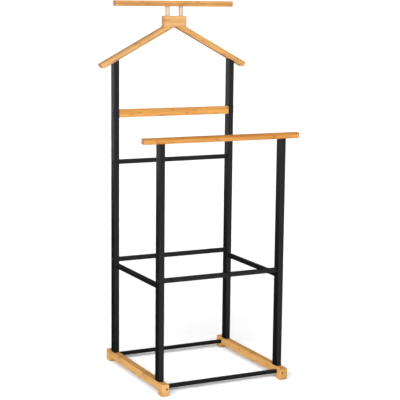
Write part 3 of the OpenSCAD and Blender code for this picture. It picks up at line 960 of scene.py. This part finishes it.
def lock_screws():
    """A screw through each end of the base rails, into a base tube."""
    places = [(lock_screw_place(side, end), Y * end) for side in SIDES.values() for end in ENDS.values()]
    head_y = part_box("base_lock_screws")[1].y
    tube_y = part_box("base_tube_back")[1].y
    length = head_y - (tube_y - LOCK_SCREW_GRIP)
    screws("lock_screws_flat_head", "base_lock_screws", BRASS, "brass_screw", places,
           countersunk(LOCK_SCREW_RADIUS, length, LOCK_SCREW_HEAD), cross(LOCK_SCREW_CROSS),
           LOCK_SCREW_CROSS.depth)


# ---- The object ----

def build_stand():
    """Every piece of the stand."""
    bamboo_bar("back_slat_bamboo", "back_slat")
    bamboo_bar("top_bar_bamboo", "top_bar")
    trouser_rail()
    hanger_block()
    for side in SIDES:
        base_rail(side)
        hanger_arm(side)
        peg(side)
        side_rail(side)
        for end in ENDS:
            post(side, end)
    rail_along_x("front_shelf_rail_tube", "shelf_rail_front", RAIL_CORNER, RAIL_WALL)
    rail_along_x("back_shelf_rail_tube", "shelf_rail_back", RAIL_CORNER, RAIL_WALL)
    rail_along_x("upper_back_rail_tube", "back_cross_rail", RAIL_CORNER, RAIL_WALL)
    rail_along_x("front_base_tube", "base_tube_front", BASE_TUBE_CORNER, BASE_TUBE_WALL)
    rail_along_x("back_base_tube", "base_tube_back", BASE_TUBE_CORNER, BASE_TUBE_WALL)
    rail_bolts()
    slat_screws()
    foot_bolts()
    trouser_rail_screws()
    arm_screws()
    lock_screws()
    finish_inner_nodes()


def finish_inner_nodes():
    """The sealed inner pieces stay as packed, with their own materials."""
    inner = {"post_foot_inserts": NYLON, "front_post_top_inserts": NYLON, "back_post_top_inserts": NYLON,
             "cross_rail_inserts": NYLON, "arm_dowels": PEG_WOOD}
    for name, material in inner.items():
        for material_slot in nodes[name].material_slots:
            material_slot.material = material


# ---- The studio ----

def make_camera():
    """The photograph's camera: a long lens from the front left, slightly above the middle."""
    data = bpy.data.cameras.new("camera")
    data.lens = CAMERA_LENS_MM
    data.sensor_width = SENSOR_MM
    data.clip_start = 0.1
    data.clip_end = 100
    camera = bpy.data.objects.new("camera", data)
    bpy.context.collection.objects.link(camera)
    turn = Euler((math.pi / 2 - CAMERA_ELEVATION, 0, CAMERA_AZIMUTH)).to_matrix()
    roll = Matrix.Rotation(CAMERA_ROLL, 3, "Z")
    view = turn @ roll
    back = turn @ Z
    camera.matrix_world = Matrix.Translation(CAMERA_AIM + back * CAMERA_DISTANCE) @ view.to_4x4()
    bpy.context.scene.camera = camera


def floor_material():
    """A plain matt pale grey with a faint mottle."""
    material, tree, shader = new_material("pale_floor")
    place = add(tree, "TexCoord").outputs["Object"]
    mottle = noise(tree, scaled(tree, place, 3, 3, 3), detail=3)
    colour = blended(tree, mottle, srgb(178, 178, 178), srgb(183, 183, 183))
    connect(tree, shader.inputs["Base Color"], colour)
    shader.inputs["Roughness"].default_value = 0.9
    shader.inputs["Specular IOR Level"].default_value = 0.0
    shader.inputs["Emission Color"].default_value = (1, 1, 1, 1)
    shader.inputs["Emission Strength"].default_value = FLOOR_GLOW
    material.cycles.emission_sampling = "NONE"  # rays find so wide a floor by themselves
    return material


def put_on_stage(name, bm, material):
    """Puts a surface in the scene that isn't part of the object."""
    mesh = bpy.data.meshes.new(name)
    bm.to_mesh(mesh)
    bm.free()
    mesh.materials.append(material)
    surface = bpy.data.objects.new(name, mesh)
    bpy.context.collection.objects.link(surface)
    return surface


def make_floor():
    """A wide plain floor."""
    bm = bmesh.new()
    bmesh.ops.create_grid(bm, x_segments=1, y_segments=1, size=FLOOR_HALF_SIZE)
    return put_on_stage("studio_floor", bm, floor_material())


def make_floor_suns(floor):
    """Low suns that light only the floor, so that each rail casts a soft shadow close under it."""
    lit = bpy.data.collections.new("lit_by_floor_suns")
    lit.objects.link(floor)
    for azimuth in FLOOR_SUN_AZIMUTHS:
        data = bpy.data.lights.new("floor_sun", "SUN")
        data.angle = FLOOR_SUN_ANGLE
        data.energy = FLOOR_SUNS_STRENGTH / len(FLOOR_SUN_AZIMUTHS)
        sun = aim_light(data, azimuth, FLOOR_SUN_ELEVATION, FLOOR_SUN_DISTANCE)
        sun.light_linking.receiver_collection = lit


def make_gloss_flag(name, x_ends, profile):
    """A black card that only reflections see, bent along the Y and Z of its profile."""
    bm = bmesh.new()
    rows = [[bm.verts.new((x, y, z)) for x in x_ends] for y, z in profile]
    for first, second in zip(rows, rows[1:]):
        bm.faces.new((first[0], first[1], second[1], second[0]))
    material, _, shader = new_material("black_card")
    shader.inputs["Base Color"].default_value = (0, 0, 0, 1)
    shader.inputs["Specular IOR Level"].default_value = 0.0
    flag = put_on_stage(name, bm, material)
    flag.visible_camera = False
    flag.visible_diffuse = False
    flag.visible_transmission = False
    flag.visible_shadow = False


def aim_light(data, azimuth, elevation, distance):
    """Hangs a light in a direction from the middle of the stand, and turns it to face that point."""
    light = bpy.data.objects.new(data.name, data)
    bpy.context.collection.objects.link(light)
    turn = Euler((math.pi / 2 - math.radians(elevation), 0, math.radians(azimuth))).to_matrix()
    centre = (cad_box[0] + cad_box[1]) / 2
    light.matrix_world = Matrix.Translation(centre + turn @ Z * distance) @ turn.to_4x4()
    return light


def make_front_softbox():
    """A weak square light that lifts the faces towards the camera."""
    data = bpy.data.lights.new("front_softbox", "AREA")
    data.shape = "SQUARE"
    data.size = SOFTBOX_SIZE
    data.energy = SOFTBOX_WATTS
    aim_light(data, SOFTBOX_AZIMUTH, SOFTBOX_ELEVATION, SOFTBOX_DISTANCE)


def make_world():
    """White round the horizon and dimmer overhead, with one long band of light, front and left.
    The band is too wide for a post to cast a clear shadow, and narrow enough for a low rail to."""
    world = bpy.data.worlds.new("studio")
    world.use_nodes = True
    tree = world.node_tree
    parts = add(tree, "SeparateXYZ", {0: add(tree, "TexCoord").outputs["Generated"]})
    height = parts.outputs["Z"]
    towards_viewer = calc(tree, "MULTIPLY", parts.outputs["Y"], -1.0)
    azimuth = calc(tree, "ARCTAN2", parts.outputs["X"], towards_viewer)
    aside = calc(tree, "ABSOLUTE", calc(tree, "SUBTRACT", azimuth, BAND_AZIMUTH))
    elevation = calc(tree, "ARCSINE", height)
    above = calc(tree, "ABSOLUTE", calc(tree, "SUBTRACT", elevation, BAND_ELEVATION))
    band = calc(tree, "MULTIPLY",
                spread(tree, aside, BAND_HALF_WIDTH, BAND_HALF_WIDTH + BAND_EDGE, BAND_STRENGTH, 0.0),
                spread(tree, above, BAND_HALF_HEIGHT, BAND_HALF_HEIGHT + BAND_EDGE, 1.0, 0.0))
    sky = spread(tree, height, *SKY_HEIGHTS, HORIZON_STRENGTH, SKY_STRENGTH)
    over_floor = calc(tree, "GREATER_THAN", height, HORIZON_DIP)
    strength = calc(tree, "MULTIPLY", calc(tree, "ADD", sky, band), over_floor)
    background = tree.nodes["Background"]
    background.inputs["Color"].default_value = (1, 1, 1, 1)
    connect(tree, background.inputs["Strength"], strength)
    bpy.context.scene.world = world


def make_studio():
    """The floor, the lights and the cards, and a view that shows colours as they are."""
    make_floor_suns(make_floor())
    for name, (x_ends, profile) in GLOSS_FLAGS.items():
        make_gloss_flag(name, x_ends, profile)
    make_world()
    make_front_softbox()
    bpy.context.scene.view_settings.view_transform = "Standard"


make_camera()
build_stand()
make_studio()
